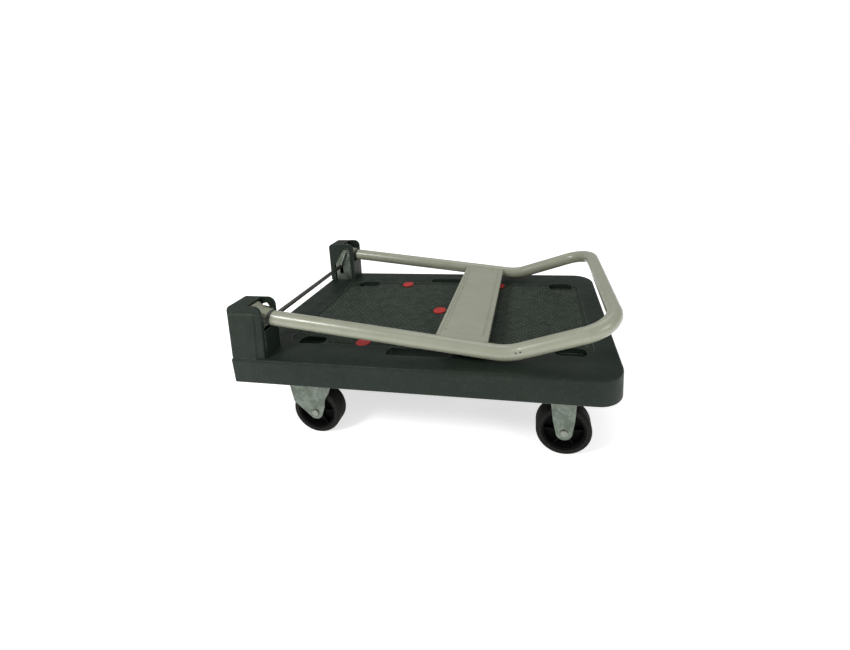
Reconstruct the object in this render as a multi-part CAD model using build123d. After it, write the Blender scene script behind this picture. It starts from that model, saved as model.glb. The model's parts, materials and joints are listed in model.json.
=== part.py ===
from build123d import *

import math
import os

# Folding platform cart: moulded deck, fold-down tube handle, foot release bar, four casters.
#
# Frame: +X runs from the hinge end to the free end, +Y to the far side, +Z up.
# The origin is on the floor, under the middle of the folded cart's bounding box.
# Parts are drawn about the deck's own centre and moved into the frame when they are written.
# The far side (+Y) is drawn, and the near side is its mirror image.

# ---- driving dimensions, in millimetres and degrees -------------------------------------
DECK_LENGTH = 740.0
DECK_WIDTH = 482.0
DECK_TOP = 175.0
SKIRT_DEPTH = 50.0
DECK_SKIN = 7.0
SKIRT_WALL = 3.6
FRONT_CORNER_R = 48.0
REAR_CORNER_R = 7.0

WHEEL_R = 49.5
WHEEL_WIDTH = 32.0
RIM_R = 40.0
TREAD_CORNER_R = 4.0
CASTER_Y = 198.0
REAR_AXLE_X = -216.0
FRONT_AXLE_X = 268.5
SWIVEL_TRAIL = 25.0
PLATE_TOP = 139.5

TUBE_R = 14.5
TUBE_WALL = 2.0
LEG_Y = 202.5
PIVOT_X = -305.0
PIVOT_Z = 249.0
KINK_X = 172.0
KINK_Z = 192.0
END_X = 361.5
END_Z = 252.5
KINK_BEND_R = 110.0
CORNER_BEND_R = 60.0

TOWER_TOP = 283.0
TOWER_IN_Y = 182.3
TOWER_OUT_Y = 235.0
TOWER_TOP_OUT_Y = 231.0
TOWER_FRONT_X = (-297.0, -291.0)  # at the base and at the top
TOWER_REAR_LEAN = 4.0

RELEASE_X = -336.0
RELEASE_Z = 217.0
RELEASE_R = 5.0
RELEASE_TRAVEL = 18.0

# ---- worked out from the driving dimensions ---------------------------------------------
SKIRT_BOTTOM = DECK_TOP - SKIRT_DEPTH
SKIN_UNDERSIDE = DECK_TOP - DECK_SKIN
REAR_EDGE = -DECK_LENGTH / 2
FRONT_EDGE = DECK_LENGTH / 2
KINGPIN_X = FRONT_AXLE_X - SWIVEL_TRAIL
LEG_SLOPE = math.degrees(math.atan2(KINK_Z - PIVOT_Z, KINK_X - PIVOT_X))
FRAME_SHIFT = -(END_X + TUBE_R - FRONT_EDGE) / 2

# ---- fasteners --------------------------------------------------------------------------
M8_SHANK_R = 4.0
M8_HOLE_R = 4.3
M8_ACROSS_FLATS = 13.0
M8_HEAD = 5.3
M8_NUT = 6.8
M8_WASHER_R = 8.0
M8_WASHER = 1.6

# ---- deck details -----------------------------------------------------------------------
DECK_EDGE_R = 5.0
PAD_MARGIN = 2.0
PAD_DEPTH = 7.0
PAD_INSET = 1.0
BOSS_WALL = 4.0
KINGPIN_POCKET_R = 12.0
KINGPIN_POCKET_DEPTH = 12.0
FIELD_X = (-292.0, 328.0)
FIELD_HALF_Y = 168.0
FIELD_DEPTH = 2.0
FIELD_CORNER_R = 26.0
SLOT_LENGTH = 130.0
SLOT_WIDTH = 28.0
SLOT_Y = 185.0
SLOT_CORNER_R = 10.0
NEST_SIZE = (58.0, 34.0)
NEST_DEPTH = 14.0
NEST_WALL = 4.0
NEST_CORNER_R = 14.0
NEST_SPOTS = ((-240.0, 155.0), (285.0, 156.0))
PLUG_R = 15.0
PLUG_SEAT = 1.5
PLUG_PROUD = 0.5
PLUG_EDGE_R = 1.0
PLUG_SPOTS = ((0.0, 0.0), (-126.0, 156.0), (126.0, 156.0), (-126.0, -156.0), (126.0, -156.0))
RIB = 3.0
RIB_BOTTOM = 140.0
RIB_YS = (-150.0, -75.0, 0.0, 75.0, 150.0)
RIB_XS = (-300.0, -150.0, -75.0, 0.0, 75.0, 150.0, 330.0)

# ---- hinge tower details ----------------------------------------------------------------
TOWER_REAR_CORNER_R = 11.0
TOWER_FRONT_CORNER_R = 15.0
TOWER_RIM_R = 3.0
COVER_WALL = 3.0
COVER_GAP = 0.1
FACE_X = (-366.0, -305.0)
FACE_TOP = 268.0
FACE_LEAN = 3.0
FACE_PROUD = 3.0
FACE_CORNER_R = 8.0
FACE_CHAMFER = 1.6
FACE_BEVEL_X = (-317.0, -300.0)
LEG_WAY_X = (-322.5, -280.0)
LEG_WAY_BOTTOM = 229.0
ARCH_X = (-356.0, -306.0)
ARCH_CROWN = ((-306.0, 262.0), (-310.0, 271.0), (-320.0, 268.0), (-329.0, 259.0), (-356.0, 218.0))
ARCH_CORNER_R = 4.0
GROOVE_Y = 225.0
GROOVE = 1.8
GROOVE_START_X = (-300.5, -297.5)  # at the base and at the top
COVER_SCREWS = ((-361.5, 196.0), (-361.5, 216.0))
COVER_BOSS_R = 5.5
COVER_BOSS = 20.0
SCREW_R = 2.0
SCREW_CLEARANCE = 0.2
SCREW_BITE = 14.0
SCREW_HEAD_R = 4.0
SCREW_HEAD = 3.0

# ---- hinge bracket ----------------------------------------------------------------------
BRACKET_STEEL = 2.4
BRACKET_IN_Y = 184.5
BRACKET_OUT_Y = 221.4
BRACKET_REAR = -352.0
BRACKET_FRONT = -302.0
BRACKET_BASE = 3.0
BRACKET_EAR_R = 11.0
BRACKET_FRONT_Z = (226.0, 238.0)
BRACKET_REAR_Z = 229.0
BRACKET_CREST = (-22.0, 18.0)  # from the pivot
BRACKET_CORNER_R = 8.0
BRACKET_HEAD_R = 7.4
BRACKET_HEAD = 4.2
BRACKET_BOLT_TAIL = 13.0
BACKING_X = (-350.0, -304.5)
BACKING_Y = (187.0, 219.0)
BACKING_STEEL = 2.5
BRACKET_BOLTS = ((-343.0, 195.0), (-343.0, 211.0), (-312.0, 195.0), (-312.0, 211.0))
PIVOT_PIN_R = 5.0
PIVOT_HEAD_R = 9.0
PIVOT_HEAD = 4.0
RUNNING_CLEARANCE = 0.06
SLIDE_CLEARANCE = 0.3
BAR_END_Y = 225.5
CLIP = 1.2
CLIP_R = 8.0
CLIP_GROOVE = 1.0
CLIP_MOUTH = 4.0
CLIP_Y = 222.6
SPRING_R = 2.6
SPRING_WIRE = 1.2
SPRING_Y = 180.6
SPRING_TOP = (-313.0, 261.0)
SPRING_HOLE_R = 1.2
SPRING_HOOK = 6.0

# ---- handle details ---------------------------------------------------------------------
BUSH_R = 8.0
LUG_HALF = 12.0
TUBE_START = 13.0
LEG_CAP = 2.0
LEG_PLUG = 24.0
SLEEVE_SPAN = (11.5, 18.5)
SLEEVE_WALL = 0.6
# The lug and claw outline: distance along the leg from the pivot, height above its centreline.
LEG_END_OUTLINE = (
    (11.0, -12.0),
    (11.0, 12.0),
    (-6.0, 14.0),
    (-22.0, 25.0),
    (-28.0, 23.0),
    (-25.5, 15.0),
    (-35.0, 8.0),
    (-34.0, -4.0),
    (-17.0, -5.0),
    (-2.0, -12.0),
)
PANEL_START = 345.0
PANEL_WIDTH = 98.0
PANEL_HALF_Y = 191.8
PANEL_LIFT = 10.4
PANEL_FLANGE = 14.0
PANEL_SHEET = 1.5
PANEL_BEAD = (3.5, 1.6)
PANEL_BEAD_DROP = 0.2
PANEL_NOTCH = 9.0

# ---- caster details ---------------------------------------------------------------------
PLATE_SIZE = (105.0, 76.0)
PLATE_HOLES = (80.0, 58.0)
PLATE_STEEL = 3.0
LEG_STEEL = 2.5
LEG_GAP = 17.5
AXLE_SLEEVE_R = 6.0
HUB_R = 13.0
HUB_HALF = 17.2
CROWN_TOP = 122.0
CROWN_STEEL = 3.5
RACE_R = (15.0, 25.0)
BALL_TRACK_R = 20.0
BALL_R = 3.7
BALL_COUNT = 14
RACE_STEEL = 2.5
KINGPIN_R = 6.0
KINGPIN_ACROSS_FLATS = 18.0
INSERT_R = 6.5
INSERT_LENGTH = 16.0
FORK_TIP_R = 14.5
RIGID_LEG_TOP_X = (-52.0, 50.0)
RIGID_LEG_HEEL = (-44.0, 23.0)
RIGID_SCOOP = (64.0, 14.0)
RIGID_SCOOP_R = 43.0
SWIVEL_LEG_HALF = (23.0, 19.0)  # at the crown and lower down
SWIVEL_LEG_WAIST = 24.0
CROWN_R = 30.0
DUST_RING_R = (27.0, 28.5)
KINGPIN_HEAD = 5.0
KINGPIN_NUT = 8.0
KINGPIN_FLANGE = 2.0
KINGPIN_FLANGE_R = 14.0
AXLE_HEAD_R = 7.0
AXLE_HEAD = 3.2
AXLE_NUT = 8.0
AXLE_TAIL = 14.0
RIM_RIBS = 6
RIM_RIB = 2.6
CASTER_BOLT_REACH = 15.0


# ---- helpers ----------------------------------------------------------------------------
def across(sketch, y_from, y_to):
    """Extrudes a sketch drawn in X and Z from one Y to the other."""
    return extrude(Plane.XZ.offset(-y_to) * sketch, y_to - y_from, dir=(0, -1, 0))


def block(x, y, z):
    """A box from its (low, high) limits along each axis."""
    size = [high - low for low, high in (x, y, z)]
    centre = [(high + low) / 2 for low, high in (x, y, z)]
    return Pos(*centre) * Box(*size)


def upright(radius, x, y, z_low, z_high):
    """A vertical cylinder."""
    return Pos(x, y, (z_low + z_high) / 2) * Cylinder(radius, z_high - z_low)


def crosswise(radius, x, z, y_low, y_high):
    """A cylinder along Y."""
    return Pos(x, (y_low + y_high) / 2, z) * Rot(90, 0, 0) * Cylinder(radius, y_high - y_low)


def hexagon(across_flats):
    """A hexagon sketch with the given distance across its flats."""
    return RegularPolygon(across_flats / math.sqrt(3), 6)


def upright_hex(across_flats, x, y, z_low, z_high):
    """A vertical hexagonal prism."""
    return Pos(x, y, z_low) * extrude(hexagon(across_flats), z_high - z_low)


def crosswise_hex(across_flats, x, z, y_low, y_high):
    """A hexagonal prism along Y."""
    return across(Pos(x, z) * hexagon(across_flats), y_low, y_high)


def near(shape):
    """The mirror image of a far-side shape."""
    return mirror(shape, about=Plane.XZ)


def both_sides(shapes):
    """A far-side list of solids with its mirror image."""
    return list(shapes) + [near(shape) for shape in shapes]


def write(node, shapes):
    """Moves one node's solids into the frame and writes them."""
    solids = shapes if isinstance(shapes, list) else [shapes]
    placed = [Pos(FRAME_SHIFT, 0, 0) * solid for solid in solids]
    whole = placed[0] if len(placed) == 1 else Compound(children=placed)
    export_step(whole, f"parts/{node}.step")


def write_pair(name, shape):
    """Writes a far-side piece and its mirror image as two nodes."""
    write(f"{name}_far", shape)
    write(f"{name}_near", near(shape))


# ---- deck -------------------------------------------------------------------------------
def deck_outline(inset):
    """The deck's plan: tight rear corners and large front ones."""
    plan = Rectangle(DECK_LENGTH - 2 * inset, DECK_WIDTH - 2 * inset)
    corners = plan.vertices().sort_by(Axis.X)
    plan = fillet(corners[:2], REAR_CORNER_R - inset)
    corners = plan.vertices().sort_by(Axis.X)
    return fillet(corners[-2:], FRONT_CORNER_R - inset)


def rounded_pocket(length, width, radius, x, y, z_low, z_high):
    """A rectangular cutter with rounded corners."""
    return Pos(x, y, z_low) * extrude(RectangleRounded(length, width, radius), z_high - z_low)


def caster_pads():
    """Thick pads on the underside that the caster plates bolt up to."""
    pads = []
    for x in (REAR_AXLE_X, KINGPIN_X):
        for side in (-1, 1):
            length, width = PLATE_SIZE
            y = side * (CASTER_Y - PAD_INSET)
            half_x = length / 2 + PAD_MARGIN
            half_y = width / 2 + PAD_MARGIN
            depth = (PLATE_TOP, PLATE_TOP + PAD_DEPTH)
            pads.append(block((x - half_x, x + half_x), (y - half_y, y + half_y), depth))
            boss_r = INSERT_R + BOSS_WALL
            for hole_x, hole_y in plate_holes(x, side * CASTER_Y):
                pads.append(upright(boss_r, hole_x, hole_y, PLATE_TOP, SKIN_UNDERSIDE + 1))
    return pads


def plate_holes(x, y):
    """The four bolt places of a caster plate centred on x, y."""
    half_x, half_y = PLATE_HOLES[0] / 2, PLATE_HOLES[1] / 2
    return [(x + i * half_x, y + j * half_y) for i in (-1, 1) for j in (-1, 1)]


def all_plate_holes():
    """Every caster bolt place on the deck."""
    return [
        hole
        for x in (REAR_AXLE_X, KINGPIN_X)
        for side in (-1, 1)
        for hole in plate_holes(x, side * CASTER_Y)
    ]


def deck_ribs():
    """The stiffening grid under the skin."""
    half_x = DECK_LENGTH / 2 - SKIRT_WALL
    half_y = DECK_WIDTH / 2 - SKIRT_WALL
    depth = (RIB_BOTTOM, SKIN_UNDERSIDE + 1)
    along = [block((-half_x - 1, half_x + 1), (y - RIB / 2, y + RIB / 2), depth) for y in RIB_YS]
    crossing = [block((x - RIB / 2, x + RIB / 2), (-half_y - 1, half_y + 1), depth) for x in RIB_XS]
    return along + crossing


def slot_collars():
    """Short walls that line the hand slots below the skin."""
    length, width = SLOT_LENGTH + 2 * SKIRT_WALL, SLOT_WIDTH + 2 * SKIRT_WALL
    radius = SLOT_CORNER_R + SKIRT_WALL
    depth = (RIB_BOTTOM, SKIN_UNDERSIDE + 1)
    return [rounded_pocket(length, width, radius, 0, side * SLOT_Y, *depth) for side in (-1, 1)]


def nest_cups():
    """The cups under the skin that the nesting pockets sink into."""
    length, width = (size + 2 * NEST_WALL for size in NEST_SIZE)
    low = DECK_TOP - NEST_DEPTH - NEST_WALL
    return [
        rounded_pocket(length, width, NEST_CORNER_R + NEST_WALL, x, side * y, low, SKIN_UNDERSIDE + 1)
        for x, y in NEST_SPOTS
        for side in (-1, 1)
    ]


def field_cutters():
    """The sunk chequer field and the seats of the plugs in it."""
    length = FIELD_X[1] - FIELD_X[0]
    floor = DECK_TOP - FIELD_DEPTH
    above = DECK_TOP + 1
    field = rounded_pocket(length, 2 * FIELD_HALF_Y, FIELD_CORNER_R, sum(FIELD_X) / 2, 0, floor, above)
    return [field] + [upright(PLUG_R, x, y, floor - PLUG_SEAT, above) for x, y in PLUG_SPOTS]


def side_cutters(side):
    """One side's hand slot, nesting pockets and through holes."""
    low, above = SKIRT_BOTTOM, DECK_TOP + 1
    slot_size = (SLOT_LENGTH, SLOT_WIDTH, SLOT_CORNER_R)
    cutters = [rounded_pocket(*slot_size, 0, side * SLOT_Y, low, above)]
    for x, y in NEST_SPOTS:
        floor = DECK_TOP - NEST_DEPTH
        cutters.append(rounded_pocket(*NEST_SIZE, NEST_CORNER_R, x, side * y, floor, above))
    for x, y in BRACKET_BOLTS:
        cutters.append(upright(M8_HOLE_R, x, side * y, low, above))
    for x, y in COVER_SCREWS:
        cutters.append(upright(SCREW_R + SCREW_CLEARANCE, x, side * y, low, above))
    roof = PLATE_TOP + KINGPIN_POCKET_DEPTH
    cutters.append(upright(KINGPIN_POCKET_R, KINGPIN_X, side * CASTER_Y, low, roof))
    return cutters


def insert_cutters():
    """The seat of every threaded insert, with a narrower hole beyond it for the bolt's end."""
    seat_top = PLATE_TOP + INSERT_LENGTH
    cutters = []
    for x, y in all_plate_holes():
        cutters.append(upright(INSERT_R, x, y, PLATE_TOP - 1, seat_top))
        cutters.append(upright(M8_HOLE_R, x, y, PLATE_TOP, seat_top + 3))
    return cutters


def deck():
    """The moulded platform: skin, skirt, ribs, pads, hand slots, nesting pockets."""
    body = Pos(0, 0, SKIRT_BOTTOM) * extrude(deck_outline(0), SKIRT_DEPTH)
    body = fillet(body.faces().sort_by(Axis.Z)[-1].edges(), DECK_EDGE_R)
    body -= Pos(0, 0, SKIRT_BOTTOM) * extrude(deck_outline(SKIRT_WALL), SKIRT_DEPTH - DECK_SKIN)
    body += deck_ribs() + slot_collars() + caster_pads() + nest_cups()
    return body - (field_cutters() + side_cutters(-1) + side_cutters(1) + insert_cutters())


def deck_plugs():
    """Round colour plugs pressed into the deck field."""
    floor = DECK_TOP - FIELD_DEPTH - PLUG_SEAT
    plugs = []
    for x, y in PLUG_SPOTS:
        plug = upright(PLUG_R, x, y, floor, DECK_TOP + PLUG_PROUD)
        plugs.append(fillet(plug.edges().sort_by(Axis.Z)[-1], PLUG_EDGE_R))
    return plugs


# ---- hinge towers -----------------------------------------------------------------------
def tower_profile(wall):
    """The tower's side view, shrunk by a wall thickness on the top, front and rear."""
    rear_base, rear_top = REAR_EDGE + wall, REAR_EDGE + TOWER_REAR_LEAN + wall
    front_base, front_top = (x - wall for x in TOWER_FRONT_X)
    top = TOWER_TOP - wall
    outline = Polygon(
        (rear_base, DECK_TOP), (front_base, DECK_TOP), (front_top, top), (rear_top, top), align=None
    )
    corners = outline.vertices().sort_by(Axis.Y)[-2:].sort_by(Axis.X)
    outline = fillet(corners[0], TOWER_REAR_CORNER_R - wall)
    corners = outline.vertices().sort_by(Axis.X)
    return fillet(corners[-1], TOWER_FRONT_CORNER_R - wall)


def outside_draft(wall):
    """A cutter that leans the tower's outer face inward towards the top."""
    base_y, top_y = TOWER_OUT_Y - wall, TOWER_TOP_OUT_Y - wall
    lean = (top_y - base_y) / (TOWER_TOP - DECK_TOP)
    outside, above = TOWER_OUT_Y + 65, TOWER_TOP + 20
    wedge = Polygon(
        (base_y, DECK_TOP),
        (outside, DECK_TOP),
        (outside, above),
        (base_y + lean * (above - DECK_TOP), above),
        align=None,
    )
    return Pos(REAR_EDGE - 30, 0, 0) * extrude(Plane.YZ * wedge, 150)


def upper_rim(solid):
    """The edges of a solid's outermost face, without the one on the deck."""
    face = solid.faces().sort_by(Axis.Y)[-1]
    return [edge for edge in face.edges() if edge.center().Z > DECK_TOP + 1]


def cover_panel():
    """The raised panel on the tower's outer face, with a wide bevel towards the front."""
    low, high = FACE_X
    outline = Polygon(
        (low, DECK_TOP),
        (high, DECK_TOP),
        (high + FACE_LEAN, FACE_TOP),
        (low + FACE_LEAN, FACE_TOP),
        align=None,
    )
    outline = fillet(outline.vertices().sort_by(Axis.Y)[-2:], FACE_CORNER_R)
    panel = across(outline, TOWER_TOP_OUT_Y - 2, TOWER_OUT_Y + 10) - outside_draft(-FACE_PROUD)
    panel = chamfer(upper_rim(panel), FACE_CHAMFER)
    bevel_start, bevel_end = FACE_BEVEL_X
    outside = TOWER_OUT_Y + FACE_PROUD + 1
    bevel = Polygon(
        (bevel_start, outside), (bevel_end, TOWER_TOP_OUT_Y - 1), (bevel_end, outside), align=None
    )
    return panel - Pos(0, 0, DECK_TOP - 1) * extrude(bevel, TOWER_TOP - DECK_TOP)


def cover_bosses():
    """Two bosses inside the tower's rear wall that the cover screws bite into."""
    return [upright(COVER_BOSS_R, x, y, DECK_TOP, DECK_TOP + COVER_BOSS) for x, y in COVER_SCREWS]


def cover_cavity():
    """The hollow inside the tower shell."""
    hollow = across(tower_profile(COVER_WALL), BRACKET_IN_Y - COVER_GAP, TOWER_OUT_Y + 5)
    return hollow - outside_draft(COVER_WALL)


def leg_opening():
    """The way the leg needs through the tower's top and front as it swings up."""
    y_limits = (BRACKET_IN_Y - COVER_GAP, TOWER_TOP_OUT_Y - COVER_WALL)
    return block(LEG_WAY_X, y_limits, (LEG_WAY_BOTTOM, TOWER_TOP + 5))


def bracket_opening():
    """The arch in the tower's inner wall that leaves the bracket in view."""
    rear, front = ARCH_X
    arch = Polygon((rear, DECK_TOP - 1), (front, DECK_TOP - 1), *ARCH_CROWN, align=None)
    arch = fillet(arch.vertices().sort_by(Axis.Y)[2:], ARCH_CORNER_R)
    return across(arch, TOWER_IN_Y - 5, BRACKET_IN_Y)


def front_groove():
    """The shallow parting groove down the tower's front wall."""
    base_x, top_x = GROOVE_START_X
    strip = Polygon(
        (base_x, DECK_TOP),
        (LEG_WAY_X[1], DECK_TOP),
        (LEG_WAY_X[1], LEG_WAY_BOTTOM),
        (top_x, LEG_WAY_BOTTOM),
        align=None,
    )
    uncut = across(tower_profile(GROOVE), TOWER_IN_Y, TOWER_OUT_Y)
    return across(strip, GROOVE_Y, GROOVE_Y + GROOVE) - uncut


def hinge_cover():
    """The moulded tower shell, open underneath and slotted at the top and front for the leg."""
    shell = across(tower_profile(0), TOWER_IN_Y, TOWER_OUT_Y + 5) - outside_draft(0)
    shell = fillet(upper_rim(shell), TOWER_RIM_R) + cover_panel()
    shell = shell - cover_cavity() + cover_bosses()
    shell -= [leg_opening(), bracket_opening(), front_groove()]
    for x, y in COVER_SCREWS:
        shell -= upright(SCREW_R, x, y, DECK_TOP - 1, DECK_TOP + SCREW_BITE)
    return shell


def cover_screws():
    """Pan-head screws up through the skin that hold each cover down."""
    screws = []
    for x, y in COVER_SCREWS:
        head = upright(SCREW_HEAD_R, x, y, SKIN_UNDERSIDE - SCREW_HEAD, SKIN_UNDERSIDE)
        head = fillet(head.edges().sort_by(Axis.Z)[0], SCREW_HEAD / 2)
        screws.append(head + upright(SCREW_R, x, y, SKIN_UNDERSIDE - 1, DECK_TOP + SCREW_BITE))
    return screws


def hinge_bracket():
    """The steel channel that carries the pivot and guides the release bar."""
    ear_front = PIVOT_X + BRACKET_EAR_R
    crest_x, crest_z = BRACKET_CREST
    blade = Polygon(
        (BRACKET_REAR, DECK_TOP),
        (BRACKET_FRONT, DECK_TOP),
        (BRACKET_FRONT, BRACKET_FRONT_Z[0]),
        (ear_front, BRACKET_FRONT_Z[1]),
        (ear_front, PIVOT_Z + BRACKET_EAR_R),
        (PIVOT_X + crest_x, PIVOT_Z + crest_z),
        (BRACKET_REAR, BRACKET_REAR_Z),
        align=None,
    )
    blade = fillet(blade.vertices().sort_by(Axis.Y)[-3:], BRACKET_CORNER_R)
    slot_low = RELEASE_Z - RELEASE_TRAVEL - 2.0
    slot_r = RELEASE_R + SLIDE_CLEARANCE
    blade -= Pos(RELEASE_X, (slot_low + RELEASE_Z) / 2) * Rectangle(2 * slot_r, RELEASE_Z - slot_low)
    blade -= Pos(RELEASE_X, slot_low) * Circle(slot_r)
    blade -= Pos(RELEASE_X, RELEASE_Z) * Circle(slot_r)
    blade -= Pos(PIVOT_X, PIVOT_Z) * Circle(PIVOT_PIN_R)
    blade -= Pos(*SPRING_TOP) * Circle(SPRING_HOLE_R)
    inner = across(blade, BRACKET_IN_Y, BRACKET_IN_Y + BRACKET_STEEL)
    outer = across(blade, BRACKET_OUT_Y - BRACKET_STEEL, BRACKET_OUT_Y)
    base_z = (DECK_TOP, DECK_TOP + BRACKET_BASE)
    base = block((BRACKET_REAR, BRACKET_FRONT), (BRACKET_IN_Y, BRACKET_OUT_Y), base_z)
    for x, y in BRACKET_BOLTS:
        base -= upright(M8_HOLE_R, x, y, DECK_TOP - 1, DECK_TOP + BRACKET_BASE + 1)
    return inner + base + outer


def backing_plate():
    """The steel plate under the skin that spreads the bracket bolts' load."""
    plate = block(BACKING_X, BACKING_Y, (SKIN_UNDERSIDE - BACKING_STEEL, SKIN_UNDERSIDE))
    for x, y in BRACKET_BOLTS:
        plate -= upright(M8_HOLE_R, x, y, SKIN_UNDERSIDE - 4, SKIN_UNDERSIDE + 1)
    return plate


def bracket_bolts():
    """Low round-head bolts through the bracket, the skin and the backing plate."""
    seat = DECK_TOP + BRACKET_BASE
    bolts = []
    for x, y in BRACKET_BOLTS:
        head = upright(BRACKET_HEAD_R, x, y, seat, seat + BRACKET_HEAD)
        head = fillet(head.edges().sort_by(Axis.Z)[-1], 2.5)
        bolts.append(head + upright(M8_SHANK_R, x, y, SKIN_UNDERSIDE - BRACKET_BOLT_TAIL, seat + 1))
    return bolts


def bracket_nuts():
    """Nuts under the backing plates."""
    top = SKIN_UNDERSIDE - BACKING_STEEL
    return [
        upright_hex(M8_ACROSS_FLATS, x, y, top - M8_NUT, top)
        - upright(M8_SHANK_R, x, y, top - M8_NUT - 1, top + 1)
        for x, y in BRACKET_BOLTS
    ]


def pivot_pin():
    """The rivet-ended pin the leg turns on."""
    head = crosswise(PIVOT_HEAD_R, PIVOT_X, PIVOT_Z, BRACKET_OUT_Y, BRACKET_OUT_Y + PIVOT_HEAD)
    head = fillet(head.edges().sort_by(Axis.Y)[-1], PIVOT_HEAD / 2)
    return head + crosswise(PIVOT_PIN_R, PIVOT_X, PIVOT_Z, BRACKET_IN_Y, BRACKET_OUT_Y + 1)


# ---- release bar and springs ------------------------------------------------------------
def release_bar():
    """The foot bar across the hinge end, grooved near its ends for the clips."""
    bar = crosswise(RELEASE_R, RELEASE_X, RELEASE_Z, -BAR_END_Y, BAR_END_Y)
    bar = chamfer(bar.edges(), 0.8)
    ring = crosswise(RELEASE_R + 1, RELEASE_X, RELEASE_Z, CLIP_Y - CLIP / 2, CLIP_Y + CLIP / 2)
    core_r = RELEASE_R - CLIP_GROOVE
    groove = ring - crosswise(core_r, RELEASE_X, RELEASE_Z, CLIP_Y - CLIP, CLIP_Y + CLIP)
    return bar - [groove, near(groove)]


def bar_clip():
    """A split retaining clip in the bar's groove."""
    ring = crosswise(CLIP_R, RELEASE_X, RELEASE_Z, CLIP_Y - CLIP / 2, CLIP_Y + CLIP / 2)
    ring -= crosswise(RELEASE_R - CLIP_GROOVE, RELEASE_X, RELEASE_Z, CLIP_Y - CLIP, CLIP_Y + CLIP)
    mouth_z = (RELEASE_Z - CLIP_MOUTH / 2, RELEASE_Z + CLIP_MOUTH / 2)
    return ring - block((RELEASE_X - CLIP_R - 1, RELEASE_X), (CLIP_Y - CLIP, CLIP_Y + CLIP), mouth_z)


def return_spring():
    """The closed shape of the spring that lifts the bar: body, top hook and bottom loop."""
    bottom = Vector(RELEASE_X, SPRING_Y, RELEASE_Z)
    top = Vector(SPRING_TOP[0], SPRING_Y, SPRING_TOP[1])
    along = (top - bottom).normalized()
    start = bottom + along * (RELEASE_R + SPRING_WIRE + 0.5)
    end = top - along * SPRING_HOOK
    coil = Plane(origin=start, z_dir=along) * Pos(0, 0, (end - start).length / 2)
    coil *= Cylinder(SPRING_R, (end - start).length)
    wire_r = SPRING_WIRE / 2
    loop_r = RELEASE_R + SPRING_WIRE
    loop = crosswise(loop_r, RELEASE_X, RELEASE_Z, SPRING_Y - wire_r, SPRING_Y + wire_r)
    loop -= crosswise(RELEASE_R, RELEASE_X, RELEASE_Z, SPRING_Y - SPRING_WIRE, SPRING_Y + SPRING_WIRE)
    stem = Plane(origin=end - along, z_dir=along) * Pos(0, 0, 3.5) * Cylinder(wire_r, 7.0)
    hook = crosswise(wire_r, SPRING_TOP[0], SPRING_TOP[1], SPRING_Y - wire_r, BRACKET_IN_Y + 2)
    neck = Plane(origin=start - along * 1.2, z_dir=along) * Pos(0, 0, 1.1) * Cylinder(wire_r, 2.2)
    return coil + loop + stem + hook + neck


# ---- handle -----------------------------------------------------------------------------
def leg_frame(u, v):
    """X and Z of a point u along the leg from the pivot and v above its centreline."""
    angle = math.radians(LEG_SLOPE)
    x = PIVOT_X + u * math.cos(angle) - v * math.sin(angle)
    z = PIVOT_Z + u * math.sin(angle) + v * math.cos(angle)
    return x, z


def leg_direction():
    """The unit vector along the leg, away from the pivot."""
    angle = math.radians(LEG_SLOPE)
    return Vector(math.cos(angle), 0, math.sin(angle))


def handle_path():
    """The centreline of the bent tube, from one hinge round to the other."""
    start_x, start_z = leg_frame(TUBE_START, 0.0)
    points = [
        (start_x, LEG_Y, start_z),
        (KINK_X, LEG_Y, KINK_Z),
        (END_X, LEG_Y, END_Z),
        (END_X, -LEG_Y, END_Z),
        (KINK_X, -LEG_Y, KINK_Z),
        (start_x, -LEG_Y, start_z),
    ]
    radii = [KINK_BEND_R, CORNER_BEND_R, CORNER_BEND_R, KINK_BEND_R]
    return FilletPolyline(*points, radius=radii)


def handle_tube():
    """The push handle: one round tube with two kinks and two corners."""
    path = handle_path()
    ring = Circle(TUBE_R) - Circle(TUBE_R - TUBE_WALL)
    return sweep(Plane(origin=path @ 0, z_dir=path % 0) * ring, path=path)


def cross_panel():
    """The pressed panel between the legs: flat web, rolled edges, turned-down flanges."""
    corner = (Align.MIN, Align.MAX)
    bead_half = PANEL_BEAD[0]
    section = Rectangle(PANEL_WIDTH, PANEL_SHEET, align=corner)
    for edge in (0.0, PANEL_WIDTH - PANEL_SHEET):
        section += Pos(edge, 0) * Rectangle(PANEL_SHEET, PANEL_FLANGE, align=corner)
    for edge in (bead_half, PANEL_WIDTH - bead_half):
        section += Pos(edge, -PANEL_BEAD_DROP) * Ellipse(*PANEL_BEAD)
    x, z = leg_frame(PANEL_START, PANEL_LIFT)
    plane = Plane(origin=(x, PANEL_HALF_Y, z), x_dir=leg_direction(), z_dir=(0, -1, 0))
    panel = extrude(plane * section, 2 * PANEL_HALF_Y)
    for edge in (0.0, PANEL_WIDTH):
        for side in (-1, 1):
            x, z = leg_frame(PANEL_START + edge, PANEL_LIFT - PANEL_FLANGE)
            notch = Box(PANEL_NOTCH, PANEL_NOTCH, 2 * PANEL_FLANGE - 6)
            panel -= Pos(x, side * PANEL_HALF_Y, z) * notch
    return panel


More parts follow.
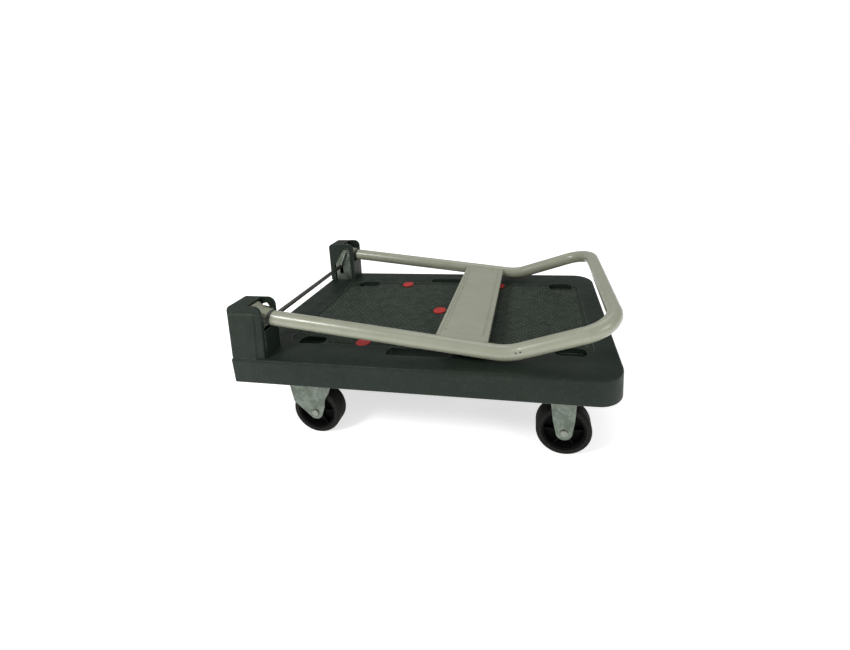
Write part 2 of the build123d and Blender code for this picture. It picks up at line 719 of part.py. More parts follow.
def leg_end():
    """The fitting in the leg's end: plug, pivot lug and the claw that faces the release bar."""
    outline = Polygon(*[leg_frame(u, v) for u, v in LEG_END_OUTLINE], align=None)
    outline = fillet(outline.vertices().sort_by(Axis.X)[:5], 1.5)
    outline -= Pos(PIVOT_X, PIVOT_Z) * Circle(BUSH_R)
    lug = across(outline, LEG_Y - LUG_HALF, LEG_Y + LUG_HALF)
    x, z = leg_frame(TUBE_START - LEG_CAP, 0)
    seat = Plane(origin=(x, LEG_Y, z), z_dir=leg_direction())
    cap = seat * Pos(0, 0, LEG_CAP / 2) * Cylinder(TUBE_R, LEG_CAP)
    plug = seat * Pos(0, 0, 1.0 + LEG_PLUG / 2) * Cylinder(TUBE_R - TUBE_WALL, LEG_PLUG)
    return lug + cap + plug


def leg_sleeve():
    """The dark collar round each leg where it enters the tower."""
    x, z = leg_frame(SLEEVE_SPAN[0], 0)
    length = SLEEVE_SPAN[1] - SLEEVE_SPAN[0]
    seat = Plane(origin=(x, LEG_Y, z), z_dir=leg_direction()) * Pos(0, 0, length / 2)
    return seat * (Cylinder(TUBE_R + SLEEVE_WALL, length) - Cylinder(TUBE_R, length + 2))


def pivot_bush():
    """The bush through the leg end that runs on the pivot pin."""
    low = BRACKET_IN_Y + BRACKET_STEEL + SLIDE_CLEARANCE
    high = BRACKET_OUT_Y - BRACKET_STEEL - SLIDE_CLEARANCE
    bore = PIVOT_PIN_R + RUNNING_CLEARANCE
    bush = crosswise(BUSH_R, PIVOT_X, PIVOT_Z, low, high)
    return bush - crosswise(bore, PIVOT_X, PIVOT_Z, low - 1, high + 1)


# ---- casters ----------------------------------------------------------------------------
def caster_plate(x):
    """The slab with four bolt holes that every caster hangs from."""
    length, width = PLATE_SIZE
    plate = rounded_pocket(length, width, 6.0, x, CASTER_Y, PLATE_TOP - PLATE_STEEL, PLATE_TOP)
    for hole_x, hole_y in plate_holes(x, CASTER_Y):
        plate -= upright(M8_HOLE_R, hole_x, hole_y, PLATE_TOP - 10, PLATE_TOP + 1)
    return plate


def rigid_fork():
    """A fixed caster's pressed frame: plate and two broad three-cornered legs."""
    top = PLATE_TOP - PLATE_STEEL - WHEEL_R + 0.5
    tip = Circle(FORK_TIP_R)
    rear, front = RIGID_LEG_TOP_X
    corners = Polyline((rear, top), (front, top), RIGID_LEG_HEEL, close=True)
    leg = make_hull(tip.edges() + corners.edges())
    leg -= [Pos(*RIGID_SCOOP) * Circle(RIGID_SCOOP_R), Circle(M8_SHANK_R)]
    leg = Pos(REAR_AXLE_X, WHEEL_R) * leg
    fork = caster_plate(REAR_AXLE_X)
    for low in (LEG_GAP, -LEG_GAP - LEG_STEEL):
        fork += across(leg, CASTER_Y + low, CASTER_Y + low + LEG_STEEL)
    return fork


def swivel_top():
    """A swivel caster's top plate with its upper race and dust ring."""
    plate = caster_plate(KINGPIN_X) - upright(KINGPIN_R, KINGPIN_X, CASTER_Y, CROWN_TOP, PLATE_TOP)
    race_low = CROWN_TOP + RACE_STEEL + SLIDE_CLEARANCE + 2 * BALL_R
    ring_in, ring_out = DUST_RING_R
    outer = upright(ring_out, KINGPIN_X, CASTER_Y, CROWN_TOP + 1.0, PLATE_TOP - PLATE_STEEL)
    outer -= upright(ring_in, KINGPIN_X, CASTER_Y, CROWN_TOP, PLATE_TOP)
    race = upright(RACE_R[1], KINGPIN_X, CASTER_Y, race_low, PLATE_TOP - PLATE_STEEL)
    race -= upright(RACE_R[0], KINGPIN_X, CASTER_Y, race_low - 1, PLATE_TOP)
    return plate + outer + race


def bearing_balls():
    """The ring of balls between the races."""
    z = CROWN_TOP + RACE_STEEL + SLIDE_CLEARANCE + BALL_R
    balls = []
    for i in range(BALL_COUNT):
        angle = 2 * math.pi * i / BALL_COUNT
        x = KINGPIN_X + BALL_TRACK_R * math.cos(angle)
        y = CASTER_Y + BALL_TRACK_R * math.sin(angle)
        balls.append(Pos(x, y, z) * Sphere(BALL_R))
    return balls


def swivel_fork():
    """The swivelling fork: crown with lower race, and two narrow tapered legs."""
    crown_low = CROWN_TOP - CROWN_STEEL
    wide, narrow = SWIVEL_LEG_HALF
    disc = Pos(KINGPIN_X, CASTER_Y) * Circle(CROWN_R)
    tab = Pos(FRONT_AXLE_X, CASTER_Y) * Rectangle(2 * wide, 2 * (LEG_GAP + LEG_STEEL))
    crown = Pos(0, 0, crown_low) * extrude(disc + tab, CROWN_STEEL)
    race = upright(RACE_R[1], KINGPIN_X, CASTER_Y, CROWN_TOP, CROWN_TOP + RACE_STEEL)
    bore = KINGPIN_R + RUNNING_CLEARANCE
    crown = crown + race - upright(bore, KINGPIN_X, CASTER_Y, crown_low - 1, PLATE_TOP)
    top = crown_low - WHEEL_R + 0.5
    waist = SWIVEL_LEG_WAIST
    corners = Polyline((-wide, top), (wide, top), (narrow, waist), (-narrow, waist), close=True)
    leg = make_hull(Circle(FORK_TIP_R).edges() + corners.edges()) - Circle(M8_SHANK_R)
    leg = Pos(FRONT_AXLE_X, WHEEL_R) * leg
    for low in (LEG_GAP, -LEG_GAP - LEG_STEEL):
        crown += across(leg, CASTER_Y + low, CASTER_Y + low + LEG_STEEL)
    return crown


def kingpin():
    """The bolt a swivel fork turns on, with a collar that keeps the crown up."""
    x, y = KINGPIN_X, CASTER_Y
    crown_low = CROWN_TOP - CROWN_STEEL
    head_top = crown_low - KINGPIN_FLANGE
    head = upright_hex(KINGPIN_ACROSS_FLATS, x, y, head_top - KINGPIN_HEAD, head_top)
    flange = upright(KINGPIN_FLANGE_R, x, y, head_top - 0.1, crown_low - SLIDE_CLEARANCE)
    return head + flange + upright(KINGPIN_R, x, y, crown_low - 1, PLATE_TOP + 9)


def kingpin_nut():
    """The nut on top of the swivel plate, inside the deck pad."""
    nut = upright_hex(KINGPIN_ACROSS_FLATS, KINGPIN_X, CASTER_Y, PLATE_TOP, PLATE_TOP + KINGPIN_NUT)
    return nut - upright(KINGPIN_R, KINGPIN_X, CASTER_Y, PLATE_TOP - 1, PLATE_TOP + 10)


def axle_bolt(x):
    """An axle bolt with a low domed head, head outboard."""
    outer = CASTER_Y + LEG_GAP + LEG_STEEL
    head = crosswise(AXLE_HEAD_R, x, WHEEL_R, outer, outer + AXLE_HEAD)
    head = fillet(head.edges().sort_by(Axis.Y)[-1], 2.0)
    return head + crosswise(M8_SHANK_R, x, WHEEL_R, CASTER_Y - LEG_GAP - AXLE_TAIL, outer + 1)


def axle_nut(x):
    """The locking nut inboard of the fork."""
    outer = CASTER_Y - LEG_GAP - LEG_STEEL
    nut = crosswise_hex(M8_ACROSS_FLATS, x, WHEEL_R, outer - AXLE_NUT, outer)
    return nut - crosswise(M8_SHANK_R, x, WHEEL_R, outer - AXLE_NUT - 1, outer + 1)


def axle_sleeve(x):
    """The steel tube clamped between the legs that the hub runs on."""
    sleeve = crosswise(AXLE_SLEEVE_R, x, WHEEL_R, CASTER_Y - LEG_GAP, CASTER_Y + LEG_GAP)
    reach = LEG_GAP + 1
    return sleeve - crosswise(M8_SHANK_R, x, WHEEL_R, CASTER_Y - reach, CASTER_Y + reach)


def turned(profile, x):
    """A profile of (radius, width) points turned about a wheel's axle."""
    return Pos(x, CASTER_Y, WHEEL_R) * revolve(Plane.XY * profile, Axis.Y)


def wheel_rim(x):
    """The moulded wheel centre: hub, web, rim and radial ribs on both sides."""
    bore = AXLE_SLEEVE_R + RUNNING_CLEARANCE
    half = WHEEL_WIDTH / 2
    profile = Polygon(
        (bore, -HUB_HALF),
        (HUB_R, -HUB_HALF),
        (HUB_R + 1, -5),
        (RIM_R - 7, -4),
        (RIM_R - 4, -half + 1),
        (RIM_R, -half + 1),
        (RIM_R, half - 1),
        (RIM_R - 4, half - 1),
        (RIM_R - 7, 4),
        (HUB_R + 1, 5),
        (HUB_R, HUB_HALF),
        (bore, HUB_HALF),
        align=None,
    )
    rim = turned(profile, x)
    rib = Pos((HUB_R + RIM_R) / 2 - 2, 0, 0) * Box(RIM_R - HUB_R - 4, WHEEL_WIDTH - 10, RIM_RIB)
    for i in range(RIM_RIBS):
        rim += Pos(x, CASTER_Y, WHEEL_R) * Rot(0, 360.0 / RIM_RIBS * i, 0) * rib
    return rim


def wheel_tread(x):
    """The soft grey tyre ring with rounded shoulders."""
    half = WHEEL_WIDTH / 2
    section = Pos((RIM_R + WHEEL_R) / 2, 0) * Rectangle(WHEEL_R - RIM_R, WHEEL_WIDTH)
    section = fillet(section.vertices().sort_by(Axis.X)[-2:], TREAD_CORNER_R)
    return turned(section, x)


def caster_bolts():
    """Hex bolts up through the caster plates into the deck inserts."""
    head_top = PLATE_TOP - PLATE_STEEL - M8_WASHER
    bolts = []
    for x, y in all_plate_holes():
        head = upright_hex(M8_ACROSS_FLATS, x, y, head_top - M8_HEAD, head_top)
        bolts.append(head + upright(M8_SHANK_R, x, y, head_top - 1, PLATE_TOP + CASTER_BOLT_REACH))
    return bolts


def caster_washers():
    """Plain washers under the caster bolt heads."""
    seat = PLATE_TOP - PLATE_STEEL
    return [
        upright(M8_WASHER_R, x, y, seat - M8_WASHER, seat)
        - upright(M8_SHANK_R, x, y, seat - M8_WASHER - 1, seat + 1)
        for x, y in all_plate_holes()
    ]


def deck_inserts():
    """Threaded inserts moulded into the caster pads."""
    return [
        upright(INSERT_R, x, y, PLATE_TOP, PLATE_TOP + INSERT_LENGTH)
        - upright(M8_SHANK_R, x, y, PLATE_TOP - 1, PLATE_TOP + INSERT_LENGTH + 1)
        for x, y in all_plate_holes()
    ]


# ---- assembly ---------------------------------------------------------------------------
def main():
    """Writes every node's STEP file."""
    os.makedirs("parts", exist_ok=True)
    write("deck", deck())
    write("deck_plugs", deck_plugs())
    write_pair("hinge_cover", hinge_cover())
    write("cover_screws", both_sides(cover_screws()))
    write_pair("hinge_bracket", hinge_bracket())
    write_pair("backing_plate", backing_plate())
    write("bracket_bolts", both_sides(bracket_bolts()))
    write("bracket_nuts", both_sides(bracket_nuts()))
    write("pivot_pins", both_sides([pivot_pin()]))
    write("release_bar", release_bar())
    write("bar_clips", both_sides([bar_clip()]))
    write_pair("return_spring", return_spring())
    write("handle_tube", handle_tube())
    write("cross_panel", cross_panel())
    write_pair("leg_end", leg_end())
    write_pair("leg_sleeve", leg_sleeve())
    write("pivot_bushes", both_sides([pivot_bush()]))
    write_pair("rigid_fork", rigid_fork())
    write("rear_axle_bolts", both_sides([axle_bolt(REAR_AXLE_X)]))
    write("rear_axle_nuts", both_sides([axle_nut(REAR_AXLE_X)]))
    write("rear_axle_sleeves", both_sides([axle_sleeve(REAR_AXLE_X)]))
    write_pair("rear_wheel_rim", wheel_rim(REAR_AXLE_X))
    write_pair("rear_wheel_tread", wheel_tread(REAR_AXLE_X))
    write_pair("swivel_top", swivel_top())
    write("swivel_balls", both_sides(bearing_balls()))
    write("kingpins", both_sides([kingpin()]))
    write("kingpin_nuts", both_sides([kingpin_nut()]))
    write_pair("swivel_fork", swivel_fork())
    write_pair("front_axle_bolt", axle_bolt(FRONT_AXLE_X))
    write_pair("front_axle_nut", axle_nut(FRONT_AXLE_X))
    write_pair("front_axle_sleeve", axle_sleeve(FRONT_AXLE_X))
    write_pair("front_wheel_rim", wheel_rim(FRONT_AXLE_X))
    write_pair("front_wheel_tread", wheel_tread(FRONT_AXLE_X))
    write("caster_bolts", caster_bolts())
    write("caster_washers", caster_washers())
    write("deck_inserts", deck_inserts())


main()
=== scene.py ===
import json
import math

import bpy
from mathutils import Matrix, Vector


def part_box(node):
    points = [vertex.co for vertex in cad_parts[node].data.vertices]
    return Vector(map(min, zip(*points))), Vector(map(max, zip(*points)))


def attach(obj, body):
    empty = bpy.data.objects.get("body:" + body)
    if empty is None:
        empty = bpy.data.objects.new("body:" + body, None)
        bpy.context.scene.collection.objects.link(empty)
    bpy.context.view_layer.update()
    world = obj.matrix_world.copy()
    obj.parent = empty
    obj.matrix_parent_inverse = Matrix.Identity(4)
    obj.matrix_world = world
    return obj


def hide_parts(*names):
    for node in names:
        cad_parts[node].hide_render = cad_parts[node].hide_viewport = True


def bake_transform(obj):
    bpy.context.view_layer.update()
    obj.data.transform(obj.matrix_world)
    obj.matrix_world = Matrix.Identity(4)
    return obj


# Folding platform cart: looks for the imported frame. Metres, in the frame's own axes:
# +X towards the free end, +Y towards the far side, +Z up.

MM = 0.001
SIDES = {"far": 1.0, "near": -1.0}

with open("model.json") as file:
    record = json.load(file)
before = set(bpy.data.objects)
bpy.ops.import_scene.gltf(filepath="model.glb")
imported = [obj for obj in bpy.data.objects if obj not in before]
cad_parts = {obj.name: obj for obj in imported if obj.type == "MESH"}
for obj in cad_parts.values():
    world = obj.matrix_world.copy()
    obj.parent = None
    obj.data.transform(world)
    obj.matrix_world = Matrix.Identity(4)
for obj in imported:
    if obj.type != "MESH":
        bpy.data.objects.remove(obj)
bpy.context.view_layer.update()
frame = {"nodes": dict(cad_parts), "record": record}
NODES = frame["nodes"]

DECK_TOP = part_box("deck")[1][2]
FIELD_FLOOR = DECK_TOP - 2 * MM

# The release bar's axis, and the hole in each bracket that a return spring hooks into.
BAR_LOW, BAR_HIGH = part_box("release_bar")
BAR_X = (BAR_LOW[0] + BAR_HIGH[0]) / 2
BAR_Z = (BAR_LOW[2] + BAR_HIGH[2]) / 2
BAR_R = 5 * MM
SPRING_HOLE = (-316 * MM, 261 * MM)
SPRING_Y = 180.6 * MM
SPRING_WIRE_R = 0.6 * MM
SPRING_COIL_R = 2.0 * MM
LOOP_START = -70
LOOP_SWEEP = 320
LOOP_STEPS = 28
COIL_START = 7.5 * MM
COIL_END_GAP = 6.5 * MM
COIL_TURNS = 25
COIL_STEPS = 12
HOOK_NECK = (4.5 * MM, 1.0 * MM)
HOOK_REACH = (1.2 * MM, 5.0 * MM)

# The leg's line: from the pivot, down towards the kink.
PIVOT = Vector((-308 * MM, 0.0, 249 * MM))
KINK = Vector((169 * MM, 0.0, 192 * MM))
LEG_DIR = (KINK - PIVOT).normalized()
LEG_UP = Vector((-LEG_DIR.z, 0.0, LEG_DIR.x))
LEG_Y = 202.5 * MM
TUBE_R = 14.5 * MM
PANEL_SPAN = (345 * MM, 443 * MM)
PANEL_LIFT = 10.4 * MM
PANEL_HALF_Y = 191.8 * MM

# Weld runs along each end of the panel, in millimetres from its first edge, and the bead's size.
WELD_RUNS = ((8, 30), (36, 62), (68, 90))
WELD_TIP_R = 0.35
WELD_R = 1.1
WELD_RIPPLE = 0.22
WELD_RIPPLE_RATE = 1.9

# The pressed line on the panel: half sizes, corner, and its section as (out, up) in millimetres.
RIDGE_HALF_U = 37 * MM
RIDGE_HALF_Y = 172 * MM
RIDGE_CORNER = 9 * MM
RIDGE_SECTION = ((-1.8, -0.1), (-1.1, 0.32), (0.0, 0.55), (1.1, 0.32), (1.8, -0.1))

# The leg rivets, on the rising stretch past the kink: places in millimetres, rings as (radius, out).
RIVET_XS = (184.0, 192.0)
RISE_START = (169.0, 197.5)
RISE_SLOPE = 0.32
RIVET_SINK = 0.35 * MM
RIVET_RINGS = ((1.5, -0.6), (1.5, 0.1), (1.1, 0.42), (0.5, 0.58))
RIVET_SIDES = 14

# The chequer field and what it leaves out: (x, y, half length, half width, corner) in millimetres.
FIELD = (15.0, 0.0, 310.0, 168.0, 26.0)
NESTS = [(x, side * y) for x, y in ((-243.0, 155.0), (282.0, 156.0)) for side in (-1, 1)]
NEST_HALF = (29.0, 17.0)
PLUGS = [(-3.0, 0.0)] + [(x, side * 156.0) for x in (-129.0, 123.0) for side in (-1, 1)]
PLUG_R = 15.0
CHEQUER_PITCH = 13.0
CHEQUER_GAP = 0.75
CHEQUER_SLOPE = 1.0
CHEQUER_ROOT = 0.1
CHEQUER_RISE = 1.3
CHEQUER_EDGE = 9.0
PLUG_CLEAR = 6.5
NEST_CLEAR = 7.5

# The camera: its axes, place, lens and shift, as fitted to the picture's viewing angle.
CAMERA_RIGHT = (0.98065, 0.18648, -0.05951)
CAMERA_FORWARD = (-0.19514, 0.95526, -0.22226)
CAMERA_PLACE = (0.2223, -0.8589, 0.5928)
CAMERA_LENS = 17.196
CAMERA_SHIFT = (-0.0354, -0.1238)

# The studio: light strengths, and the floor's half width in metres.
ROOM_LIGHT = 0.42
FLOOR_GLOW = 0.62
FLOOR_HALF = 30.0
LIGHT_AIM = (0.0, 0.0, 0.15)
# Name, place, size and power of each softbox.
SOFTBOXES = (
    ("key", (-1.1, -1.3, 1.7), 0.6, 24.0),
    ("fill", (1.7, -1.2, 1.3), 1.0, 9.0),
    ("top", (0.2, 0.9, 2.3), 1.4, 10.0),
)


# ---- meshes -----------------------------------------------------------------------------
def mesh_object(name, verts, faces, smooth=False):
    """A new object from vertices in metres."""
    mesh = bpy.data.meshes.new(name)
    mesh.from_pydata([tuple(v) for v in verts], [], faces)
    mesh.update()
    for polygon in mesh.polygons:
        polygon.use_smooth = smooth
    obj = bpy.data.objects.new(name, mesh)
    bpy.context.scene.collection.objects.link(obj)
    return obj


def swept_tube(points, radii, sides=10):
    """Vertices and faces of a closed tube along points, with a radius at each."""
    verts, faces = [], []
    side = Vector((0.0, 1.0, 0.0))
    for i, point in enumerate(points):
        ahead = points[min(i + 1, len(points) - 1)] - points[max(i - 1, 0)]
        ahead.normalize()
        side = side - ahead * side.dot(ahead)
        if side.length < 1e-6:
            side = ahead.orthogonal()
        side.normalize()
        other = ahead.cross(side)
        for k in range(sides):
            angle = 2 * math.pi * k / sides
            verts.append(point + (side * math.cos(angle) + other * math.sin(angle)) * radii[i])
    for i in range(len(points) - 1):
        for k in range(sides):
            a, b = i * sides + k, i * sides + (k + 1) % sides
            faces.append((a, b, b + sides, a + sides))
    faces.append(tuple(reversed(range(sides))))
    last = (len(points) - 1) * sides
    faces.append(tuple(range(last, last + sides)))
    return verts, faces


def leg_point(along, y, lift):
    """A point on a leg: distance from the pivot, sideways place, height above the centreline."""
    return PIVOT + LEG_DIR * along + LEG_UP * lift + Vector((0.0, y, 0.0))


# ---- chequer field ----------------------------------------------------------------------
def in_rounded_box(x, y, cx, cy, half_x, half_y, corner):
    """True inside a rounded rectangle."""
    dx = max(abs(x - cx) - (half_x - corner), 0.0)
    dy = max(abs(y - cy) - (half_y - corner), 0.0)
    return math.hypot(dx, dy) <= corner


def chequer_spot_is_free(x, y):
    """True where a whole diamond fits on the plain field floor."""
    cx, cy, half_x, half_y, corner = FIELD
    edge = CHEQUER_EDGE
    if not in_rounded_box(x, y, cx, cy, half_x - edge, half_y - edge, corner - edge):
        return False
    if any(math.hypot(x - px, y - py) < PLUG_R + PLUG_CLEAR for px, py in PLUGS):
        return False
    clear_x, clear_y = (half + NEST_CLEAR for half in NEST_HALF)
    return not any(abs(x - nx) < clear_x and abs(y - ny) < clear_y for nx, ny in NESTS)


def diamond_verts(x, y):
    """The base and top corners of one diamond centred on x, y in millimetres."""
    base = CHEQUER_PITCH / 2 - CHEQUER_GAP
    low, high = FIELD_FLOOR - CHEQUER_ROOT * MM, FIELD_FLOOR + CHEQUER_RISE * MM
    return [
        ((x + ax * reach) * MM, (y + ay * reach) * MM, z)
        for reach, z in ((base, low), (base - CHEQUER_SLOPE, high))
        for ax, ay in ((1, 0), (0, 1), (-1, 0), (0, -1))
    ]


def diamond_faces(first):
    """Four sloped sides, the top and the base, for eight vertices from the first."""
    sides = [(first + k, first + (k + 1) % 4, first + (k + 1) % 4 + 4, first + k + 4) for k in range(4)]
    top = tuple(first + 4 + k for k in range(4))
    base = tuple(first + 3 - k for k in range(4))
    return sides + [top, base]


def chequer():
    """Flat-topped diamonds standing on the floor of the deck's inset field."""
    half = CHEQUER_PITCH / 2
    middle_x, _, half_x, half_y, _ = FIELD
    columns = int(2 * half_x / half) + 2
    rows = int(2 * half_y / half) + 2
    verts, faces = [], []
    for i in range(-columns // 2, columns // 2 + 1):
        for j in range(-rows // 2, rows // 2 + 1):
            x, y = middle_x + i * half, j * half
            if (i + j) % 2 or not chequer_spot_is_free(x, y):
                continue
            faces += diamond_faces(len(verts))
            verts += diamond_verts(x, y)
    return mesh_object("deck_chequer", verts, faces)


# ---- return springs ---------------------------------------------------------------------
def spring(side_name):
    """A wound tension spring from a loop round the release bar to a hook in the bracket."""
    sign = SIDES[side_name]
    sideways = Vector((0.0, sign, 0.0))
    bottom = Vector((BAR_X, sign * SPRING_Y, BAR_Z))
    top = Vector((SPRING_HOLE[0], sign * SPRING_Y, SPRING_HOLE[1]))
    along = (top - bottom).normalized()
    across = Vector((-along.z, 0.0, along.x))
    points = []
    loop_r = BAR_R + SPRING_WIRE_R
    for k in range(LOOP_STEPS + 1):
        angle = math.radians(LOOP_START + LOOP_SWEEP * k / LOOP_STEPS)
        points.append(bottom + (across * math.sin(angle) - along * math.cos(angle)) * loop_r)
    coil_length = (top - bottom).length - COIL_END_GAP - COIL_START
    count = COIL_TURNS * COIL_STEPS
    for k in range(count + 1):
        angle = 2 * math.pi * k / COIL_STEPS
        round_axis = across * math.cos(angle) + sideways * math.sin(angle)
        reach = COIL_START + coil_length * k / count
        points.append(bottom + along * reach + round_axis * SPRING_COIL_R)
    points += [top - along * short for short in HOOK_NECK]
    points += [top + sideways * reach for reach in HOOK_REACH]
    verts, faces = swept_tube(points, [SPRING_WIRE_R] * len(points), sides=8)
    obj = mesh_object("coil_spring_" + side_name, verts, faces, smooth=True)
    return obj, top, bottom


# ---- handle details ---------------------------------------------------------------------
def weld_radius(k, count):
    """A rippled bead's radius at step k, fading out at both ends of its run."""
    fade = min(1.0, k / 3, (count - k) / 3)
    return (WELD_TIP_R + (WELD_R + WELD_RIPPLE * math.sin(WELD_RIPPLE_RATE * k)) * fade) * MM


def weld_beads():
    """Rippled weld beads where the cross panel's ends meet the legs."""
    verts, faces = [], []
    for sign in SIDES.values():
        y = sign * (PANEL_HALF_Y + 0.5 * MM)
        for start, stop in WELD_RUNS:
            count = (stop - start) * 2
            reaches = [PANEL_SPAN[0] + (start + (stop - start) * k / count) * MM for k in range(count + 1)]
            points = [leg_point(reach, y, PANEL_LIFT - 0.2 * MM) for reach in reaches]
            radii = [weld_radius(k, count) for k in range(count + 1)]
            more_verts, more_faces = swept_tube(points, radii, sides=8)
            offset = len(verts)
            verts += more_verts
            faces += [tuple(offset + index for index in face) for face in more_faces]
    return mesh_object("panel_welds", verts, faces, smooth=True)


def ridge_outline():
    """The pressed line's rounded rectangle: distance along the leg, and Y."""
    outline = []
    for su, sy, start in ((1, 1, 0), (-1, 1, 90), (-1, -1, 180), (1, -1, 270)):
        for k in range(7):
            angle = math.radians(start + 15 * k)
            u = su * (RIDGE_HALF_U - RIDGE_CORNER) + RIDGE_CORNER * math.cos(angle)
            y = sy * (RIDGE_HALF_Y - RIDGE_CORNER) + RIDGE_CORNER * math.sin(angle)
            outline.append((u, y))
    return outline


def pressed_ridge():
    """The pressed line round the cross panel's flat, as a low rounded ridge."""
    middle = sum(PANEL_SPAN) / 2
    outline = ridge_outline()
    count, width = len(outline), len(RIDGE_SECTION)
    verts, faces = [], []
    for i, (u, y) in enumerate(outline):
        u_prev, y_prev = outline[i - 1]
        u_next, y_next = outline[(i + 1) % count]
        normal = Vector((y_next - y_prev, u_prev - u_next)).normalized()
        for out, up in RIDGE_SECTION:
            at_u, at_y = u + normal.x * out * MM, y + normal.y * out * MM
            verts.append(leg_point(middle + at_u, at_y, PANEL_LIFT + up * MM))
    for i in range(count):
        here, ahead = i * width, ((i + 1) % count) * width
        for k in range(width - 1):
            faces.append((here + k, ahead + k, ahead + k + 1, here + k + 1))
        faces.append((here + width - 1, ahead + width - 1, ahead, here))
    return mesh_object("panel_ridge", verts, faces, smooth=True)


def rivet_faces(first):
    """The walls between a rivet's rings, and its two end caps."""
    faces = []
    for ring in range(len(RIVET_RINGS) - 1):
        start = first + ring * RIVET_SIDES
        for k in range(RIVET_SIDES):
            a, b = start + k, start + (k + 1) % RIVET_SIDES
            faces.append((a, b, b + RIVET_SIDES, a + RIVET_SIDES))
    last = first + (len(RIVET_RINGS) - 1) * RIVET_SIDES
    faces.append(tuple(first + k for k in range(RIVET_SIDES)))
    faces.append(tuple(last + k for k in range(RIVET_SIDES)))
    return faces


def leg_rivets():
    """Two small domed rivets on the outer side of each leg, just past the kink."""
    rise_x, rise_z = RISE_START
    verts, faces = [], []
    for sign in SIDES.values():
        y = sign * (LEG_Y + TUBE_R - RIVET_SINK)
        for x in RIVET_XS:
            centre = Vector((x * MM, y, (rise_z + RISE_SLOPE * (x - rise_x)) * MM))
            faces += rivet_faces(len(verts))
            for radius, out in RIVET_RINGS:
                for k in range(RIVET_SIDES):
                    angle = 2 * math.pi * k / RIVET_SIDES
                    offset = Vector((math.cos(angle) * radius, sign * out, math.sin(angle) * radius))
                    verts.append(centre + offset * MM)
    return mesh_object("leg_rivets", verts, faces, smooth=True)


# ---- materials --------------------------------------------------------------------------
def linear(red, green, blue):
    """A display colour, 0 to 255, as Blender's linear RGBA."""
    def channel(value):
        value /= 255
        return value / 12.92 if value <= 0.04045 else ((value + 0.055) / 1.055) ** 2.4

    return channel(red), channel(green), channel(blue), 1.0


class Surface:
    """A node material built up from named layers."""

    def __init__(self, name, roughness, metallic=0.0, round_edges=0.5):
        self.material = bpy.data.materials.new(name)
        self.material.use_nodes = True
        self.tree = self.material.node_tree
        self.shader = self.tree.nodes["Principled BSDF"]
        self.shader.inputs["Metallic"].default_value = metallic
        self.shader.inputs["Roughness"].default_value = roughness
        self.place = self.node("ShaderNodeTexCoord").outputs["Object"]
        bevel = self.node("ShaderNodeBevel")
        bevel.samples = 4
        bevel.inputs["Radius"].default_value = round_edges * MM
        self.normal = bevel.outputs["Normal"]
        self.edge = self.edge_mask(round_edges * 2.5)

    def node(self, kind):
        return self.tree.nodes.new(kind)

    def link(self, source, target):
        self.tree.links.new(source, target)

    def noise(self, scale, detail=4.0, stretch=None):
        """A noise factor with features about 1/scale metres across."""
        place = self.place
        if stretch:
            mapping = self.node("ShaderNodeMapping")
            mapping.inputs["Scale"].default_value = stretch
            self.link(place, mapping.inputs["Vector"])
            place = mapping.outputs["Vector"]
        noise = self.node("ShaderNodeTexNoise")
        noise.inputs["Scale"].default_value = scale
        noise.inputs["Detail"].default_value = detail
        self.link(place, noise.inputs["Vector"])
        return noise.outputs["Fac"]

    def cells(self, scale):
        """A different value in each irregular cell."""
        voronoi = self.node("ShaderNodeTexVoronoi")
        voronoi.inputs["Scale"].default_value = scale
        self.link(self.place, voronoi.inputs["Vector"])
        separate = self.node("ShaderNodeSeparateColor")
        self.link(voronoi.outputs["Color"], separate.inputs["Color"])
        return separate.outputs["Red"]

    def ramp(self, factor, low, high, from_value=0.0, to_value=1.0):
        """Maps a factor from low..high to from_value..to_value."""
        mapped = self.node("ShaderNodeMapRange")
        mapped.inputs["From Min"].default_value = low
        mapped.inputs["From Max"].default_value = high
        mapped.inputs["To Min"].default_value = from_value
        mapped.inputs["To Max"].default_value = to_value
        self.link(factor, mapped.inputs["Value"])
        return mapped.outputs["Result"]

    def times(self, first, second):
        product = self.node("ShaderNodeMath")
        product.operation = "MULTIPLY"
        self.link(first, product.inputs[0])
        self.link(second, product.inputs[1])
        return product.outputs["Value"]

    def edge_mask(self, radius):
        """Near 1 along outside and inside edges, from how far a rounded normal turns."""
        bevel = self.node("ShaderNodeBevel")
        bevel.samples = 4
        bevel.inputs["Radius"].default_value = radius * MM
        true_normal = self.node("ShaderNodeNewGeometry").outputs["Normal"]
        dot = self.node("ShaderNodeVectorMath")
        dot.operation = "DOT_PRODUCT"
        self.link(bevel.outputs["Normal"], dot.inputs[0])
        self.link(true_normal, dot.inputs[1])
        return self.ramp(dot.outputs["Value"], 0.995, 0.82)

    def colour(self, base, layers):
        """Base colour, then each (factor, colour) laid over it."""
        current = None
        for factor, over in layers:
            mix = self.node("ShaderNodeMix")
            mix.data_type = "RGBA"
            # Mix keeps a socket set per data type: 0 is the factor, 6 and 7 are the colours.
            self.link(factor, mix.inputs[0])
            if current is None:
                mix.inputs[6].default_value = base
            else:
                self.link(current, mix.inputs[6])
            mix.inputs[7].default_value = over
            current = mix.outputs[2]
        self.link(current, self.shader.inputs["Base Color"])

    def roughness(self, factor, low, high, rough_low, rough_high):
        self.link(self.ramp(factor, low, high, rough_low, rough_high), self.shader.inputs["Roughness"])

    def bump(self, layers):
        """Each (factor, height in millimetres) pressed into the surface in turn."""
        normal = self.normal
        for factor, height in layers:
            bump = self.node("ShaderNodeBump")
            bump.inputs["Distance"].default_value = height * MM
            self.link(factor, bump.inputs["Height"])
            self.link(normal, bump.inputs["Normal"])
            normal = bump.outputs["Normal"]
        self.link(normal, self.shader.inputs["Normal"])
        return self.material


